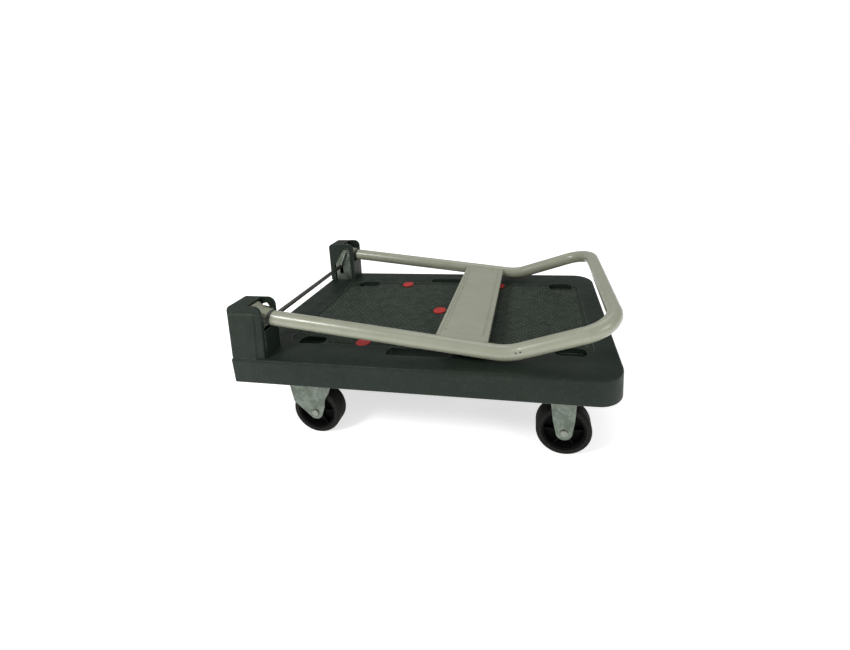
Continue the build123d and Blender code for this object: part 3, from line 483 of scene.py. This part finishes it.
def moulded_plastic(name, base, pale, dark, painted_edge_highlight):
    """Grained plastic with scuffs, faint flow marks and a painted highlight: a paler colour along its
    edges.
    """
    surface = Surface(name, 0.5, round_edges=0.8)
    surface.shader.inputs["Specular IOR Level"].default_value = 0.15
    scuffs = surface.ramp(surface.noise(90, 6, stretch=(1.0, 6.0, 1.0)), 0.62, 0.74, 0.0, 0.3)
    surface.colour(base, [
        (surface.ramp(surface.noise(7, 3), 0.35, 0.7, 0.0, 0.6), dark),
        (surface.ramp(surface.noise(160, 5), 0.5, 0.75, 0.0, 0.25), pale),
        (scuffs, pale),
        # Painted highlight: a paler colour laid along the edges, where light catches them.
        (surface.times(surface.edge, surface.ramp(surface.noise(60), 0.35, 0.6, 0.45, 0.9)), painted_edge_highlight),
    ])
    surface.roughness(surface.noise(35, 5), 0.3, 0.7, 0.40, 0.58)
    return surface.bump([(surface.noise(1500, 2), 0.06), (surface.noise(20, 2), 0.25)])


def paint(name, base, pale, dark, scuff):
    """Semi-gloss paint over steel with orange peel, grime and knocks at the edges."""
    surface = Surface(name, 0.3, round_edges=0.5)
    surface.shader.inputs["Coat Weight"].default_value = 0.35
    surface.shader.inputs["Coat Roughness"].default_value = 0.12
    specks = surface.ramp(surface.noise(520, 1), 0.77, 0.82, 0.0, 0.5)
    surface.colour(base, [
        (surface.ramp(surface.noise(9, 4), 0.35, 0.7, 0.0, 0.55), pale),
        (surface.ramp(surface.noise(28, 3), 0.5, 0.8, 0.0, 0.4), dark),
        (specks, scuff),
        (surface.times(surface.edge, surface.ramp(surface.noise(110), 0.45, 0.62, 0.0, 0.8)), scuff),
    ])
    surface.roughness(surface.noise(40, 4), 0.3, 0.7, 0.24, 0.40)
    return surface.bump([(surface.noise(420, 1), 0.05)])


def zinc(name, base, pale, green):
    """Zinc plate with a soft crystal mottle, dulled patches and rubbed edges."""
    surface = Surface(name, 0.42, metallic=0.75, round_edges=0.4)
    surface.colour(base, [
        (surface.ramp(surface.cells(170), 0.2, 0.8, 0.0, 0.5), pale),
        (surface.ramp(surface.noise(45, 6), 0.42, 0.68, 0.0, 0.75), green),
        (surface.ramp(surface.noise(380, 3), 0.62, 0.75, 0.0, 0.35), green),
        (surface.edge, pale),
    ])
    surface.roughness(surface.noise(70, 5), 0.3, 0.7, 0.34, 0.56)
    return surface.bump([(surface.noise(500, 3), 0.05), (surface.cells(170), 0.02)])


def plated(name, base, dark, rough_low, rough_high, drag=(1.0, 1.0, 1.0)):
    """Bright or satin metal with fine tool marks and small dark spots."""
    surface = Surface(name, rough_low, metallic=1.0, round_edges=0.3)
    surface.colour(base, [
        (surface.ramp(surface.noise(60, 5), 0.5, 0.78, 0.0, 0.6), dark),
        (surface.ramp(surface.noise(500, 3), 0.66, 0.74, 0.0, 0.6), dark),
    ])
    surface.roughness(surface.noise(120, 4), 0.3, 0.7, rough_low, rough_high)
    return surface.bump([(surface.noise(900, 2, stretch=drag), 0.02)])


def rubber(name, base, dust, dark):
    """Tread rubber with floor dust, pits and a rubbed shoulder."""
    surface = Surface(name, 0.8, round_edges=0.6)
    surface.shader.inputs["Specular IOR Level"].default_value = 0.15
    surface.colour(base, [
        (surface.ramp(surface.noise(30, 5), 0.4, 0.7, 0.0, 0.7), dark),
        (surface.ramp(surface.noise(220, 5), 0.5, 0.72, 0.0, 0.6), dust),
        (surface.edge, dust),
    ])
    surface.roughness(surface.noise(60, 4), 0.3, 0.7, 0.66, 0.88)
    return surface.bump([(surface.noise(1100, 3), 0.08), (surface.noise(140, 3), 0.12)])


def smooth_plastic(name, base, pale, rough_low, rough_high, specular=0.35):
    """Plain moulded plastic with slight cloudiness and edges paler from wear."""
    surface = Surface(name, rough_low, round_edges=0.4)
    surface.shader.inputs["Specular IOR Level"].default_value = specular
    surface.colour(base, [
        (surface.ramp(surface.noise(55, 4), 0.4, 0.72, 0.0, 0.5), pale),
        (surface.times(surface.edge, surface.ramp(surface.noise(140), 0.4, 0.65, 0.1, 0.8)), pale),
    ])
    surface.roughness(surface.noise(80, 4), 0.3, 0.7, rough_low, rough_high)
    return surface.bump([(surface.noise(900, 2), 0.03)])


def cart_materials():
    """One material for each of the record's slots."""
    # Base, pale and dark tones, and last the painted edge highlight.
    grey = (linear(34, 43, 36), linear(56, 65, 57), linear(27, 35, 29), linear(104, 114, 102))
    return {
        "deck_plastic": moulded_plastic("deck_plastic", *grey),
        "cover_plastic": moulded_plastic("cover_plastic", *grey),
        "plug_plastic": smooth_plastic("plug_plastic", linear(176, 34, 32), linear(190, 58, 50), 0.34, 0.5),
        "handle_paint": paint(
            "handle_paint", linear(146, 149, 130), linear(156, 159, 141), linear(130, 133, 113),
            linear(86, 86, 74),
        ),
        "dark_nylon": smooth_plastic("dark_nylon", linear(52, 54, 52), linear(84, 86, 82), 0.4, 0.55),
        "plated_bar": plated("plated_bar", linear(104, 104, 98), linear(52, 52, 48), 0.24, 0.4),
        "spring_steel": plated("spring_steel", linear(166, 168, 164), linear(90, 88, 82), 0.22, 0.38),
        "insert_brass": plated("insert_brass", linear(196, 164, 96), linear(120, 92, 48), 0.25, 0.42),
        "ball_steel": plated("ball_steel", linear(190, 190, 188), linear(70, 64, 52), 0.1, 0.28),
        # Black plastic, its base taken down to near black as painted shade for the deep shade inside the
        # wheel.
        "rim_plastic": smooth_plastic("rim_plastic", linear(3, 3, 3), linear(9, 9, 9), 0.6, 0.75, 0.08),
        "tread_rubber": rubber(
            "tread_rubber", linear(22, 22, 19), linear(46, 46, 40), linear(14, 14, 12)
        ),
        "zinc_steel": zinc("zinc_steel", linear(102, 111, 103), linear(134, 142, 130), linear(82, 92, 76)),
        "fastener_steel": plated(
            "fastener_steel", linear(136, 140, 130), linear(80, 82, 70), 0.28, 0.45
        ),
    }


def paint_nodes(materials):
    """Gives every CAD node its slot's material."""
    for entry in frame["record"]["subparts"]:
        slots = NODES[entry["node"]].data.materials
        slots.clear()
        slots.append(materials[entry["material_slot"]])


def dress(obj, materials, slot_name, body):
    """Gives a new piece its material, its slot and its body."""
    obj.data.materials.append(materials[slot_name])
    if body:
        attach(obj, body)


# ---- studio -----------------------------------------------------------------------------
def add_camera():
    """The camera at the picture's viewing angle, aimed by its fitted axes."""
    right = Vector(CAMERA_RIGHT)
    forward = Vector(CAMERA_FORWARD)
    right.normalize()
    forward.normalize()
    up = right.cross(forward)
    right = forward.cross(up)
    data = bpy.data.cameras.new("camera")
    data.sensor_width = 36.0
    data.lens = CAMERA_LENS
    data.shift_x, data.shift_y = CAMERA_SHIFT
    data.clip_start = 0.01
    camera = bpy.data.objects.new("camera", data)
    bpy.context.scene.collection.objects.link(camera)
    turn = Matrix((right, up, -forward)).transposed()
    camera.matrix_world = Matrix.Translation(CAMERA_PLACE) @ turn.to_4x4()
    bpy.context.scene.camera = camera


def add_softbox(name, place, size, power):
    """A square area light turned towards the cart."""
    data = bpy.data.lights.new(name, "AREA")
    data.energy = power
    data.size = size
    light = bpy.data.objects.new(name, data)
    bpy.context.scene.collection.objects.link(light)
    light.location = place
    light.rotation_euler = (Vector(LIGHT_AIM) - Vector(place)).to_track_quat("-Z", "Y").to_euler()


def add_room():
    """A dim white room that lights the cart, seen by the camera as a plain white backdrop."""
    world = bpy.data.worlds.new("studio")
    world.use_nodes = True
    tree = world.node_tree
    room = tree.nodes["Background"]
    room.inputs["Color"].default_value = (1.0, 1.0, 1.0, 1.0)
    room.inputs["Strength"].default_value = ROOM_LIGHT
    backdrop = tree.nodes.new("ShaderNodeBackground")
    backdrop.inputs["Strength"].default_value = 1.0
    backdrop.inputs["Color"].default_value = (1.0, 1.0, 1.0, 1.0)
    seen = tree.nodes.new("ShaderNodeLightPath")
    either = tree.nodes.new("ShaderNodeMixShader")
    tree.links.new(seen.outputs["Is Camera Ray"], either.inputs["Fac"])
    tree.links.new(room.outputs["Background"], either.inputs[1])
    tree.links.new(backdrop.outputs["Background"], either.inputs[2])
    tree.links.new(either.outputs["Shader"], tree.nodes["World Output"].inputs["Surface"])
    bpy.context.scene.world = world
    bpy.context.scene.view_settings.view_transform = "Standard"


def add_floor():
    """A pale floor that gives off a little light, so that it comes out white."""
    half = FLOOR_HALF
    corners = [(-half, -half, 0), (half, -half, 0), (half, half, 0), (-half, half, 0)]
    floor = mesh_object("floor", corners, [(0, 1, 2, 3)])
    material = bpy.data.materials.new("floor_paper")
    material.use_nodes = True
    paper = material.node_tree.nodes["Principled BSDF"]
    paper.inputs["Base Color"].default_value = (0.9, 0.9, 0.9, 1.0)
    paper.inputs["Roughness"].default_value = 0.9
    paper.inputs["Emission Color"].default_value = (1.0, 1.0, 1.0, 1.0)
    paper.inputs["Emission Strength"].default_value = FLOOR_GLOW
    floor.data.materials.append(material)


def add_studio():
    """The room, three soft lights and the floor."""
    add_room()
    for name, place, size, power in SOFTBOXES:
        add_softbox(name, place, size, power)
    add_floor()


add_camera()
add_studio()
MATERIALS = cart_materials()
paint_nodes(MATERIALS)

dress(chequer(), MATERIALS, "deck_plastic", "platform")
dress(weld_beads(), MATERIALS, "handle_paint", "handle")
dress(pressed_ridge(), MATERIALS, "handle_paint", "handle")
dress(leg_rivets(), MATERIALS, "dark_nylon", "handle")
for side_name in SIDES:
    coil, hook_end, bar_end = spring(side_name)
    dress(coil, MATERIALS, "spring_steel", None)
    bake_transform(coil)
    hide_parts("return_spring_" + side_name)
